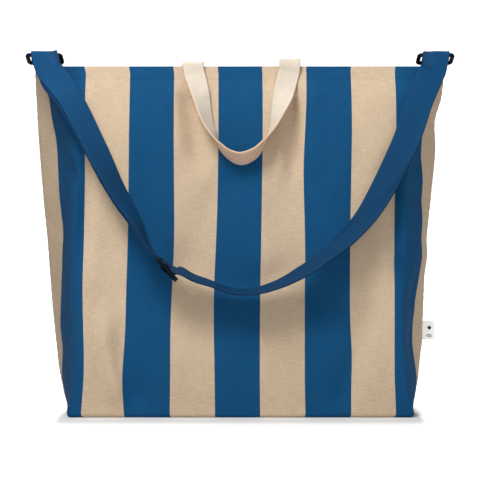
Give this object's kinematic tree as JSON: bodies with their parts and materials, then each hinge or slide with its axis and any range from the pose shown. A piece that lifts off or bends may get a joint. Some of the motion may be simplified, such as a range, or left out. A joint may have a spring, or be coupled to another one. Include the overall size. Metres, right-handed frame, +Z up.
{
  "type": "striped canvas tote bag",
  "caption": "Large boxed canvas tote with vertical stripes, short carrying handles and a long adjustable shoulder strap on rings.",
  "frame": {"origin": "on the floor, at the middle of the bag's base", "axes": "+Z up, +X to the right of someone facing the front, the front is at -Y"},
  "size_m": [0.618, 0.2317, 0.5222],
  "materials": {
    "striped_canvas": "matte",
    "natural_canvas": "matte",
    "blue_canvas": "matte",
    "dark_plastic": "satin",
    "label_cloth": "matte"
  },
  "bodies": {
    "bag": {"front_panel": "striped_canvas", "back_panel": "striped_canvas", "front_hem": "striped_canvas", "back_hem": "striped_canvas", "left_side_seam": "striped_canvas", "right_side_seam": "striped_canvas", "bottom_seam": "striped_canvas", "left_corner_seam": "striped_canvas", "right_corner_seam": "striped_canvas", "left_ring_tab": "blue_canvas", "right_ring_tab": "blue_canvas", "front_handle_left_end": "natural_canvas", "front_handle_right_end": "natural_canvas", "back_handle_left_end": "natural_canvas", "back_handle_right_end": "natural_canvas"},
    "front_handle": {"front_handle": "natural_canvas"},
    "back_handle": {"back_handle": "natural_canvas"},
    "left_ring": {"left_ring": "dark_plastic"},
    "right_ring": {"right_ring": "dark_plastic"},
    "shoulder_strap": {"shoulder_strap": "blue_canvas", "adjusting_loop": "blue_canvas"},
    "slider": {"slider": "dark_plastic", "strap_end_fold": "blue_canvas"},
    "side_label": {"side_label": "label_cloth"}
  },
  "joints": [
    {"name": "front_handle_swing", "type": "hinge", "parent": "bag", "child": "front_handle", "pos_m": [0, -0.029, 0.505], "axis": [-1, 0, 0], "range_deg": [0, 155]},
    {"name": "back_handle_swing", "type": "hinge", "parent": "bag", "child": "back_handle", "pos_m": [0, 0.029, 0.505], "axis": [1, 0, 0], "range_deg": [0, 155]},
    {"name": "left_ring_swivel", "type": "hinge", "parent": "bag", "child": "left_ring", "pos_m": [-0.282, -0.013, 0.5075], "axis": [-1, 0, 0], "range_deg": [0, 70]},
    {"name": "right_ring_swivel", "type": "hinge", "parent": "bag", "child": "right_ring", "pos_m": [0.282, -0.013, 0.5075], "axis": [-1, 0, 0], "range_deg": [0, 70]},
    {"name": "strap_swing", "type": "hinge", "parent": "left_ring", "child": "shoulder_strap", "pos_m": [-0.282, -0.0355, 0.516], "axis": [-1, 0, 0], "range_deg": [0, 110]},
    {"name": "slider_slide", "type": "slide", "parent": "shoulder_strap", "child": "slider", "axis": [-0.6429, 0, 0.7659], "range_m": [0, 0.04], "deforming": ["adjusting_loop"]},
    {"name": "label_flap", "type": "hinge", "parent": "bag", "child": "side_label", "pos_m": [0.269, 0, 0.1185], "axis": [0, 0, 1], "range_deg": [-60, 60]}
  ],
  "couplings": [
    {"joint": "right_ring_swivel", "follows": "left_ring_swivel", "ratio": 1}
  ]
}
